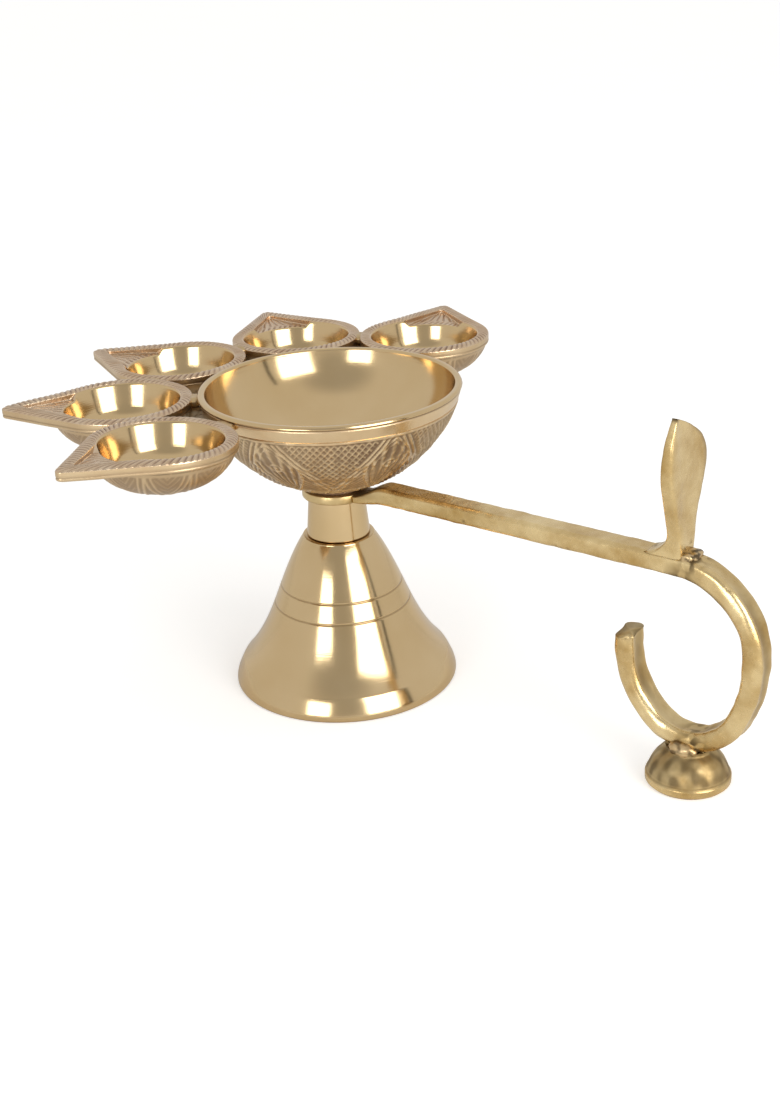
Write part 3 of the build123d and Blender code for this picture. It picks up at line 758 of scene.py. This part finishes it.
def handle_bar():
    """The bar of the handle: a rounded section carried along the arm and round the open ring. The path's
    heading is the curvature summed along it, and its points are the sums of the heading's cosine and sine.
    The root eases out of the eye, and the ring is a little stouter and rounder than the arm, with hollow
    faces. Casting leaves ripples of up to 0.3 mm and a few pits, and the hook's end is cut on a slant."""
    legs = [(ARM_END - ROOT_END, 0)] + [(r * np.radians(a), 1 / r) for r, a in RING_ARCS] + [(HOOK_END, 0)]
    legs = np.array(legs)
    total = legs[:, 0].sum()
    s = np.linspace(0, total, 20001)
    bend = legs[np.clip(np.searchsorted(np.cumsum(legs[:, 0]), s), 0, len(legs) - 1), 1]
    step = s[1] - s[0]
    heading = np.cumsum(bend) * step
    x = ROOT_END + np.concatenate([[0], np.cumsum(np.cos(heading[:-1]) * step)])
    z = BAR_MIDDLE - np.concatenate([[0], np.cumsum(np.sin(heading[:-1]) * step)])
    root = np.linspace(0, 1, 26)[:-1]
    at = np.concatenate([(root - 1) * (ROOT_END - ROOT_START), np.linspace(0, total, 640)])
    grown = ease((at + ROOT_END - ROOT_START) / (ROOT_END - ROOT_START))[:, None]
    px = np.where(at < 0, ROOT_END + at, np.interp(at, s, x))[:, None]
    pz = np.interp(at, s, z)[:, None] - (1 - grown) * (BAR_MIDDLE - (EYE_BASE + EYE_TOP) / 2)
    turn = np.interp(at, s, heading)[:, None]
    stout = 0.96 + 0.12 * ease((at - 78) / 26)[:, None]
    hollow = ease((at - 88) / 20)[:, None]
    plain, round_edged = (rounded_bar(BAR_WIDTH, BAR_THICKNESS, e, 92).T for e in (BAR_EDGE, RING_EDGE))
    across, deep = ((1 - hollow) * a + hollow * b for a, b in zip(plain, round_edged))
    y = across * (stout * grown + 8.0 / BAR_WIDTH * (1 - grown))
    hollow_face = np.maximum(1 - (across / 2.3) ** 2, 0)
    dish = 0.5 * hollow_face * np.sign(deep)
    out = (deep - dish * hollow) * (stout * grown + (EYE_TOP - EYE_BASE) / BAR_THICKNESS * (1 - grown))
    grid = np.stack([px + np.sin(turn) * out, y, pz + np.cos(turn) * out], -1)
    end = ease((at - total + 3.0) / 3.0)[:, None]
    slant = end * (0.16 * y - 0.4 - 0.12 * out)
    grid += np.stack([np.cos(turn) * slant, 0 * slant, -np.sin(turn) * slant], -1)
    lumps = 0.13 * ripple(grid, 9, 21) + 0.06 * ripple(grid, 3.6, 22)
    pits = sum(mound(np.linalg.norm(grid - pit, axis=-1), 0.42) for pit in PITS)
    height = lumps * (0.7 + 0.9 * hollow) - 0.15 * pits
    grid = relief(capped(grid), np.pad(height, ((1, 1), (0, 0))))
    gx, gz = grid[..., 0], grid[..., 2]
    speck = np.pad(pits, ((1, 1), (0, 0)))
    toned = np.pad(hollow_face * hollow, ((1, 1), (0, 0)), mode="edge") * (0.6 + 0.4 * ripple(grid, 12, 28))
    # Along the ring's inner edge, from the leaf onwards, the bar is darkened as painted shade.
    inner_edge_painted_shade = np.pad(ease((-out - 0.9) / 1.4) * mound(at - 96, 9)[:, None], ((1, 1), (0, 0)))
    braze_burn = mound(np.hypot(gx - 107.0, gz - 59.4), 2.6) * ease((ripple(grid, 2.4, 25) + 0.2) / 0.4)
    # Under the leaf the ring is darkened by flux and by painted shade.
    flux_and_shade_under_leaf = mound(np.hypot(gx - 104.5, gz - 54.6), 3.2) * ease((ripple(grid, 3, 27) + 0.5) / 0.5)
    foot_burn = mound(np.hypot(gx - 109.5, gz - 11.5), 3.4) * ease((ripple(grid, 2.6, 26) + 0.2) / 0.35)
    # The top of the arm's root, under the bowl, is darkened as painted shadow.
    root_painted_shadow = mound(gx - 10, 6) * ease((gz - 55) / 2)
    darkening = 0.6 * speck + 0.48 * toned + 0.6 * inner_edge_painted_shade + 0.5 * root_painted_shadow
    darkening += 0.85 * braze_burn + 0.6 * flux_and_shade_under_leaf + 0.9 * foot_burn
    sawn = np.pad(ease((at - total + 0.5) / 0.5), (1, 1), mode="edge")[:, None]
    return {"grid": grid, "tarnish_and_shade": np.clip(darkening + 0.3 * sawn, 0, 1)}


def handle_eye():
    """The flat eye that the stud passes through: an eased ring carried round Z."""
    flat = EYE_RADIUS - EYE_EASE
    profile = chain(
        run((STUD_BORE, EYE_BASE), (flat, EYE_BASE), count=5),
        arc((flat, EYE_BASE + EYE_EASE), EYE_EASE, -90, 0, 6),
        arc((flat, EYE_TOP - EYE_EASE), EYE_EASE, 0, 90, 6),
        run((flat, EYE_TOP), (STUD_BORE, EYE_TOP), (STUD_BORE, EYE_BASE), count=4))
    grid = lathe(profile, 96)
    return {"grid": relief(grid, 0.05 * ripple(grid, 5, 31)), "tarnish_and_shade": 0.12}


piece("handle", "handle", ["handle_arm"], [handle_bar(), handle_eye()], [cast])


# Thumb leaf

def thumb_leaf():
    """The leaf: a loop at each height. Its two side curves give the loop's width, its front and back curves
    the thickness, and the loop is a rounded box, cosine and sine to powers under 1. The front is dished by
    0.5 mm, so that a ridge stands along the edge."""
    tip = (LEAF_TIP, LEAF_TOP)
    far = [(3.8, LEAF_FOOT), (4.7, LEAF_WAIST_Z), (8.8, LEAF_WIDEST_Z), tip]
    near = [(-3.8, LEAF_FOOT), (-5.1, LEAF_WAIST_Z), (-8.8, LEAF_WIDEST_Z), tip]
    far, near = spline(far, (0, 1), (-1, 0.4), 400), spline(near, (0, 1), (1, 3), 400)
    heel = (LEAF_BACK, 65.7)
    toe = spline([(94.7, LEAF_FOOT), heel], (1, 0.2), (0, 1), 200)
    rear = spline([heel, (LEAF_BACK, LEAF_WIDEST_Z), (103.5, LEAF_TOP)], (0, 1), (0.3, 1), 200)
    rear = chain(toe, rear)
    share = 1 - (1 - np.linspace(0, 1, 150)) ** 1.5
    level = LEAF_FOOT + (LEAF_TOP - 0.03 - LEAF_FOOT) * share
    right, left = (np.interp(level, c[:, 1], c[:, 0])[:, None] for c in (far, near))
    back = np.interp(level, rear[:, 1], rear[:, 0])[:, None]
    t = np.linspace(0, TURN, 96, endpoint=False)
    a, b = bulge(np.sin(t), 0.42), bulge(np.cos(t), 0.36)
    y = (right + left) / 2 + (right - left) / 2 * a
    dish = 0.5 * ease((b - 0.5) / 0.4) * (1 - a ** 2) * ease((level - 62)[:, None] / 10)
    x = (LEAF_FRONT + back) / 2 + (LEAF_FRONT - back) / 2 * b - dish
    grid = capped(np.stack([x, y, level[:, None] + 0 * t], -1))
    lumps = 0.10 * ripple(grid, 8, 41) + 0.04 * ripple(grid, 3, 42)
    grid = relief(grid, lumps * ease((LEAF_TOP - 0.5 - grid[..., 2]) / 2))
    gy, gz = grid[..., 1], grid[..., 2]
    tip_burn = mound(np.hypot(gz - LEAF_TOP, gy - LEAF_TIP), 1.0)
    burn = mound(np.hypot(gz - 60.4, gy - 1.5), 2.4) * ease((ripple(grid, 2.4, 43) + 0.1) / 0.4)
    # The leaf's far edge is darkened as painted shade.
    edge = 0.35 * ease((a - 0.7) / 0.3) * ease((gz - 62) / 6)
    return {"grid": grid, "tarnish_and_shade": np.clip(0.9 * tip_burn + 0.8 * burn + edge, 0, 1)}


def leaf_brazing():
    """The run of filler across the foot of the leaf: a flat rounded box along Y, made lumpy by ripples."""
    grid = braze_plug(2.7, 3.3, -1.7, 1.0, 51) + (105.3, 0.2, 59.7)
    grid = relief(grid, 0.3 * ripple(grid, 2.6, 52) + 0.06 * ripple(grid, 1.3, 54))
    return {"grid": grid, "tarnish_and_shade": 0.8 * ease((ripple(grid, 1.8, 53) + 0.1) / 0.4)}


piece("leaf", "handle", ["thumb_leaf"], [thumb_leaf()], [cast])
piece("leaf_brazing", "handle", ["leaf_braze"], [leaf_brazing()], [braze])


# Foot button

def foot_disc():
    """The foot: a turned profile carried round its own axis, with a lumpy dome where the braze ran down."""
    dome = spline(FOOT_DOME, (-0.3, 1), (-1, 0.6), 34)
    neck_radius = FOOT_DOME[-1][0]
    profile = chain(
        run((0, 0), (9.8, 0), count=6), run((9.8, 0), (FOOT_RADIUS, 0.7), count=4),
        run((FOOT_RADIUS, 0.7), FOOT_DOME[0], count=9), dome,
        run(FOOT_DOME[-1], (neck_radius, FOOT_TOP), count=6),
        run((neck_radius, FOOT_TOP), (0, FOOT_TOP), count=4))
    grid = lathe(profile, 120) + (FOOT_MIDDLE, 0, 0)
    high = ease((profile[:, 1] - 2.4) / 1.2)[:, None]
    lumps = (0.1 * ripple(grid, 6, 61) + 0.04 * ripple(grid, 2.2, 62) - 0.2) * high
    neck = 0.28 * groove(profile[:, 1], 2.7, 0.5)[:, None]
    grid = relief(grid, lumps - neck)
    stain = ease((ripple(grid, 3.6, 63) + 0.5) / 1.3) * high
    return {"grid": grid, "tarnish_and_shade": np.clip(0.38 * high + 0.35 * stain + 1.6 * neck, 0, 1)}


def foot_lump(side):
    """A lump of filler beside the ring: a ball flattened against it, made lumpy by ripples."""
    v = np.linspace(-np.pi / 2, np.pi / 2, 34)[:, None]
    u = np.linspace(0, TURN, 60, endpoint=False)
    grid = np.stack([3.9 * np.cos(v) * np.cos(u), 2.1 * np.cos(v) * np.sin(u), 2.2 * np.sin(v) + 0 * u], -1)
    grid = grid + (FOOT_MIDDLE, side * 3.6, 9.9)
    grid = relief(grid, 0.22 * ripple(grid, 3.6, 70 + side) + 0.05 * ripple(grid, 1.5, 75 + side))
    return {"grid": grid, "tarnish_and_shade": 0.65 * ease((ripple(grid, 2.6, 80 + side) + 0.05) / 0.5)}


piece("foot", "handle", ["foot_button"], [foot_disc()], [cast])
piece("foot_brazing", "handle", ["foot_braze"], [foot_lump(1), foot_lump(-1)], [braze])


# Stud, washer and nut under the bell

def threaded_stud():
    """The stud: a cylinder whose radius rises and falls along a helix of 1 mm pitch."""
    z = np.concatenate([np.linspace(STUD_FOOT, 40.0, 150), np.linspace(40.5, STUD_TOP, 12)])[:, None]
    t = np.linspace(0, TURN, 64, endpoint=False)
    phase = z - t / TURN
    thread = np.abs(2 * (phase - np.floor(phase)) - 1)
    r = STUD_RADIUS - 0.5 * thread * (z < THREAD_TOP) - np.clip(STUD_FOOT + 0.5 - z, 0, 0.5)
    return {"grid": capped(np.stack([r * np.cos(t), r * np.sin(t), z + 0 * t], -1))}


piece("stud", "bowl", ["centre_stud"], [threaded_stud()], [steel])
for node in ("clamp_washer", "clamp_nut"):
    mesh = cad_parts[node].data
    mesh.materials.clear()
    mesh.materials.append(steel)


# Studio: a pale floor, a white room that is dim above the camera, two tall soft boxes and a dark card

def studio_floor():
    """A flat sheet of paper, 6 m wide. Camera rays, and faintly glossy ones, see it lighter than it is lit,
    so that it reads as white paper and keeps the lamp's shadow."""
    material, tree = new_tree("matt_paper")
    ray = add(tree, "ShaderNodeLightPath")
    shine = add(tree, "ShaderNodeMath", {0: ray.outputs["Is Glossy Ray"], 1: 0.12}, operation="MULTIPLY")
    seen = add(tree, "ShaderNodeMath", {0: ray.outputs["Is Camera Ray"], 1: shine.outputs[0]},
               operation="MAXIMUM")
    glow = add(tree, "ShaderNodeMath", {0: seen.outputs[0], 1: 0.42}, operation="MULTIPLY")
    place = add(tree, "ShaderNodeTexCoord").outputs["Object"]
    fibre = add(tree, "ShaderNodeTexNoise", {"Vector": place, "Scale": per_mm(40), "Detail": 2})
    paper = add(tree, "ShaderNodeMix", {0: fibre.outputs["Fac"], 6: linear("#E9E8E5"), 7: linear("#ECEBE9")},
                data_type="RGBA")
    sheet = add(tree, "ShaderNodeBsdfPrincipled", {
        "Base Color": paper.outputs[2], "Roughness": 0.9, "Specular IOR Level": 0.0,
        "Emission Color": (1, 1, 1, 1), "Emission Strength": glow.outputs[0]})
    add(tree, "ShaderNodeOutputMaterial", {"Surface": sheet.outputs[0]})
    flat_panel("floor", [(-3, -3, 0), (3, -3, 0), (3, 3, 0), (-3, 3, 0)], material)


def flat_panel(name, corners, material):
    """A four-cornered sheet of the studio, with its corners in metres."""
    mesh = bpy.data.meshes.new(name)
    mesh.from_pydata(corners, [], [(0, 1, 2, 3)])
    mesh.materials.append(material)
    made = bpy.data.objects.new(name, mesh)
    bpy.context.scene.collection.objects.link(made)
    return made


def dark_card(direction, half_width, distance, height):
    """A narrow upright card that draws a dark line beside the right soft box's stripe in the brass."""
    material, tree = new_tree("black_card")
    card = add(tree, "ShaderNodeBsdfPrincipled", {"Base Color": linear("#2A2620"), "Roughness": 0.9})
    add(tree, "ShaderNodeOutputMaterial", {"Surface": card.outputs[0]})
    (xa, ya), (xb, yb) = arc((0, 0), distance, direction - half_width, direction + half_width, 2)
    made = flat_panel("card", [(xa, ya, 0), (xb, yb, 0), (xb, yb, height), (xa, ya, height)], material)
    made.visible_camera = False


def studio_room():
    """The world: white to the camera. To all other rays it is a pale room that darkens smoothly within
    about 40 degrees of one direction, above and a little left of the camera: the unlit end of the room."""
    world = bpy.data.worlds.new("studio")
    world.use_nodes = True
    tree = world.node_tree
    tree.nodes.clear()
    way = add(tree, "ShaderNodeTexCoord").outputs["Generated"]
    front = add(tree, "ShaderNodeVectorMath", {0: way, 1: (0.434, -0.695, 0.574)}, operation="DOT_PRODUCT")
    dim = add(tree, "ShaderNodeMapRange", {
        "Value": front.outputs["Value"], "From Min": 0.76, "From Max": 0.97, "To Min": 0.74, "To Max": 0.48},
        interpolation_type="SMOOTHSTEP")
    ray = add(tree, "ShaderNodeLightPath").outputs["Is Camera Ray"]
    level = add(tree, "ShaderNodeMix", {0: ray, 2: dim.outputs[0], 3: 1.0})
    room = add(tree, "ShaderNodeBackground", {"Color": (1, 1, 1, 1), "Strength": level.outputs[0]})
    add(tree, "ShaderNodeOutputWorld", {"Surface": room.outputs[0]})
    bpy.context.scene.world = world


def stand(made, right, up, back, spot):
    """A light or camera put at a spot: its three axes and the spot are the columns of its matrix."""
    matrix = np.eye(4)
    matrix[:3] = np.stack([right, up, back, spot], -1)
    made.matrix_world = Matrix(matrix.tolist())
    bpy.context.scene.collection.objects.link(made)


def soft_box(name, direction, elevation, distance, width, height, power):
    """A rectangular light at a direction and elevation from the aarti lamp, turned to face it."""
    a, e = np.radians(direction), np.radians(elevation)
    back = np.array([np.cos(a) * np.cos(e), np.sin(a) * np.cos(e), np.sin(e)])
    side = np.array([-np.sin(a), np.cos(a), 0])
    lamp = bpy.data.lights.new(name, "AREA")
    lamp.shape = "RECTANGLE"
    lamp.size = width
    lamp.size_y = height
    lamp.energy = power
    made = bpy.data.objects.new(name, lamp)
    made.visible_camera = False
    stand(made, side, np.cross(back, side), back, back * distance + (0, 0, 0.05))


CAMERA_TURN, CAMERA_RISE, CAMERA_ROLL, CAMERA_LENS = 38.123, 23.598, -2.738, 51.968
CAMERA_SPOT = np.array([259.478, -308.476, 211.045])


def photo_camera():
    """The camera where the photograph was taken from: its axes from azimuth, elevation and roll."""
    a, e, roll = np.radians([CAMERA_TURN, CAMERA_RISE, CAMERA_ROLL])
    back = np.array([np.sin(a) * np.cos(e), -np.cos(a) * np.cos(e), np.sin(e)])
    right = np.array([np.cos(a), np.sin(a), 0])
    up = np.cross(back, right)
    across = right * np.cos(roll) + up * np.sin(roll)
    upright = up * np.cos(roll) - right * np.sin(roll)
    data = bpy.data.cameras.new("camera")
    data.sensor_width = 36
    data.lens = CAMERA_LENS
    made = bpy.data.objects.new("camera", data)
    stand(made, across, upright, back, CAMERA_SPOT * MM)
    bpy.context.scene.camera = made


studio_floor()
studio_room()
dark_card(direction=13, half_width=1.8, distance=1.0, height=0.8)
soft_box("left_box", direction=-81, elevation=12, distance=0.9, width=0.34, height=0.36, power=1.8)
soft_box("right_box", direction=-16, elevation=18, distance=0.9, width=0.52, height=0.58, power=4.2)
photo_camera()
bpy.context.scene.view_settings.view_transform = "Standard"
